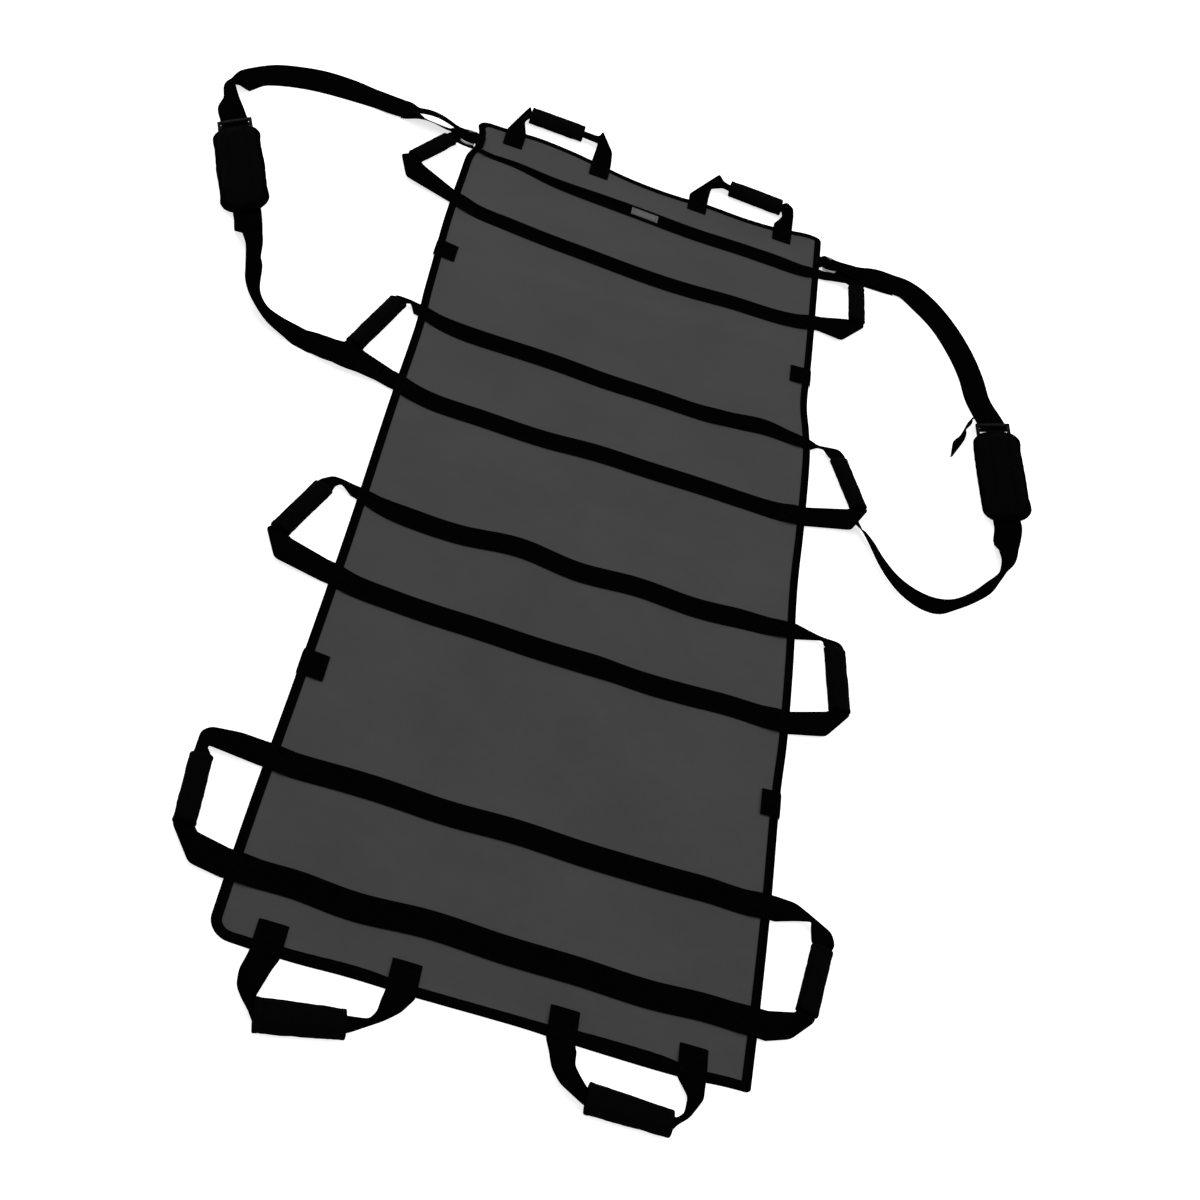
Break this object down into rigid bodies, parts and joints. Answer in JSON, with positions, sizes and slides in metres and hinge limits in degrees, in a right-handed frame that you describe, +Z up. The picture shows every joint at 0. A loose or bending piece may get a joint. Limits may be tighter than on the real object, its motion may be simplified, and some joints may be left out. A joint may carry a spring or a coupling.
{
  "type": "rescue carry sheet",
  "caption": "Coated fabric carry sheet with sewn webbing loops round its edges, padded sleeves and padded shoulder straps on D-rings.",
  "frame": {"origin": "middle of the sheet's underside, where it lies on the ground", "axes": "+Y along the sheet to its head end, +X to its right side, +Z up from the ground"},
  "size_m": [1.656, 2.2165, 0.0503],
  "materials": {
    "coated_fabric": "satin coated",
    "edge_tape": "matt woven",
    "webbing": "matt woven",
    "padded_fabric": "matt woven",
    "label": "satin woven",
    "plated_steel": "polished",
    "black_plastic": "moulded"
  },
  "bodies": {
    "sheet": {"cross_web_1": "webbing", "cross_web_2": "webbing", "cross_web_3": "webbing", "cross_web_4": "webbing", "cross_web_5": "webbing", "cross_web_6": "webbing", "cross_web_7": "webbing", "cross_web_8": "webbing", "edge_binding": "edge_tape", "edge_tab_foot_left": "webbing", "edge_tab_foot_right": "webbing", "edge_tab_head_left": "webbing", "edge_tab_head_right": "webbing", "end_tab_foot_left_left": "webbing", "end_tab_foot_left_right": "webbing", "end_tab_foot_right_left": "webbing", "end_tab_foot_right_right": "webbing", "end_tab_head_left_left": "webbing", "end_tab_head_left_right": "webbing", "end_tab_head_right_left": "webbing", "end_tab_head_right_right": "webbing", "label_patch": "label", "ring_tab_left": "webbing", "ring_tab_right": "webbing", "sheet": "coated_fabric"},
    "left_handle_1": {"side_handle_left_1": "webbing", "side_grip_left_1": "padded_fabric"},
    "left_handle_2": {"side_handle_left_2": "webbing", "side_grip_left_2": "padded_fabric"},
    "left_handle_3": {"side_handle_left_3": "webbing", "side_grip_left_3": "padded_fabric"},
    "left_handle_4": {"side_handle_left_4": "webbing", "side_grip_left_4": "padded_fabric"},
    "left_strap": {"strap_upper_web_left": "webbing", "strap_buckle_left": "black_plastic", "shoulder_pad_left": "padded_fabric", "strap_lower_web_left": "webbing"},
    "left_ring": {"d_ring_left": "plated_steel"},
    "right_handle_1": {"side_handle_right_1": "webbing", "side_grip_right_1": "padded_fabric"},
    "right_handle_2": {"side_handle_right_2": "webbing", "side_grip_right_2": "padded_fabric"},
    "right_handle_3": {"side_handle_right_3": "webbing", "side_grip_right_3": "padded_fabric"},
    "right_handle_4": {"side_handle_right_4": "webbing", "side_grip_right_4": "padded_fabric"},
    "right_strap": {"strap_upper_web_right": "webbing", "strap_buckle_right": "black_plastic", "shoulder_pad_right": "padded_fabric", "strap_lower_web_right": "webbing", "strap_tail_right": "webbing"},
    "right_ring": {"d_ring_right": "plated_steel"},
    "head_left_handle": {"end_handle_head_left": "webbing"},
    "head_left_grip": {"end_grip_head_left": "padded_fabric"},
    "head_right_handle": {"end_handle_head_right": "webbing"},
    "head_right_grip": {"end_grip_head_right": "padded_fabric"},
    "foot_left_handle": {"end_handle_foot_left": "webbing"},
    "foot_left_grip": {"end_grip_foot_left": "padded_fabric"},
    "foot_right_handle": {"end_handle_foot_right": "webbing"},
    "foot_right_grip": {"end_grip_foot_right": "padded_fabric"}
  },
  "joints": [
    {"name": "left_handle_1_lift", "type": "hinge", "parent": "sheet", "child": "left_handle_1", "pos_m": [-0.372, 0.8025, 0.0062], "axis": [0, 1, 0], "range_deg": [0, 135]},
    {"name": "left_handle_2_lift", "type": "hinge", "parent": "sheet", "child": "left_handle_2", "pos_m": [-0.372, 0.2475, 0.0062], "axis": [0, 1, 0], "range_deg": [0, 135]},
    {"name": "left_handle_3_lift", "type": "hinge", "parent": "sheet", "child": "left_handle_3", "pos_m": [-0.372, -0.251, 0.0062], "axis": [0, 1, 0], "range_deg": [0, 135]},
    {"name": "left_handle_4_lift", "type": "hinge", "parent": "sheet", "child": "left_handle_4", "pos_m": [-0.372, -0.7945, 0.0062], "axis": [0, 1, 0], "range_deg": [0, 135]},
    {"name": "left_strap_lift", "type": "hinge", "parent": "sheet", "child": "left_strap", "pos_m": [-0.372, 0.9295, 0.0062], "axis": [0, 1, 0], "range_deg": [0, 135]},
    {"name": "left_ring_swing", "type": "hinge", "parent": "sheet", "child": "left_ring", "pos_m": [-0.372, 0.9295, 0.0062], "axis": [0, 1, 0], "range_deg": [0, 135]},
    {"name": "right_handle_1_lift", "type": "hinge", "parent": "sheet", "child": "right_handle_1", "pos_m": [0.372, 0.8025, 0.0062], "axis": [0, -1, 0], "range_deg": [0, 135]},
    {"name": "right_handle_2_lift", "type": "hinge", "parent": "sheet", "child": "right_handle_2", "pos_m": [0.372, 0.249, 0.0062], "axis": [0, -1, 0], "range_deg": [0, 135]},
    {"name": "right_handle_3_lift", "type": "hinge", "parent": "sheet", "child": "right_handle_3", "pos_m": [0.372, -0.239, 0.0062], "axis": [0, -1, 0], "range_deg": [0, 135]},
    {"name": "right_handle_4_lift", "type": "hinge", "parent": "sheet", "child": "right_handle_4", "pos_m": [0.372, -0.794, 0.0062], "axis": [0, -1, 0], "range_deg": [0, 135]},
    {"name": "right_strap_lift", "type": "hinge", "parent": "sheet", "child": "right_strap", "pos_m": [0.372, 0.9275, 0.0062], "axis": [0, -1, 0], "range_deg": [0, 135]},
    {"name": "right_ring_swing", "type": "hinge", "parent": "sheet", "child": "right_ring", "pos_m": [0.372, 0.9275, 0.0062], "axis": [0, -1, 0], "range_deg": [0, 135]},
    {"name": "head_left_handle_lift", "type": "hinge", "parent": "sheet", "child": "head_left_handle", "pos_m": [-0.20675, 1.007, 0.0062], "axis": [1, 0, 0], "range_deg": [0, 150]},
    {"name": "head_left_grip_slide", "type": "slide", "parent": "head_left_handle", "child": "head_left_grip", "axis": [0.9999, -0.011, 0], "range_m": [-0.001, 0.034]},
    {"name": "head_right_handle_lift", "type": "hinge", "parent": "sheet", "child": "head_right_handle", "pos_m": [0.1865, 1.007, 0.0062], "axis": [1, 0, 0], "range_deg": [0, 150]},
    {"name": "head_right_grip_slide", "type": "slide", "parent": "head_right_handle", "child": "head_right_grip", "axis": [0.9999, -0.0106, 0], "range_m": [-0.039, 0.001]},
    {"name": "foot_left_handle_lift", "type": "hinge", "parent": "sheet", "child": "foot_left_handle", "pos_m": [-0.2015, -1.007, 0.0062], "axis": [-1, 0, 0], "range_deg": [0, 150]},
    {"name": "foot_left_grip_slide", "type": "slide", "parent": "foot_left_handle", "child": "foot_left_grip", "axis": [0.9822, 0.1878, 0], "range_m": [-0.001, 0.034]},
    {"name": "foot_right_handle_lift", "type": "hinge", "parent": "sheet", "child": "foot_right_handle", "pos_m": [0.18925, -1.007, 0.0062], "axis": [-1, 0, 0], "range_deg": [0, 150]},
    {"name": "foot_right_grip_slide", "type": "slide", "parent": "foot_right_handle", "child": "foot_right_grip", "axis": [0.9996, -0.0276, 0], "range_m": [-0.03, 0.003]}
  ],
  "couplings": [
    {"joint": "left_ring_swing", "follows": "left_strap_lift", "ratio": 1},
    {"joint": "left_handle_2_lift", "follows": "left_strap_lift", "ratio": 1},
    {"joint": "right_ring_swing", "follows": "right_strap_lift", "ratio": 1},
    {"joint": "right_handle_2_lift", "follows": "right_strap_lift", "ratio": 1}
  ]
}
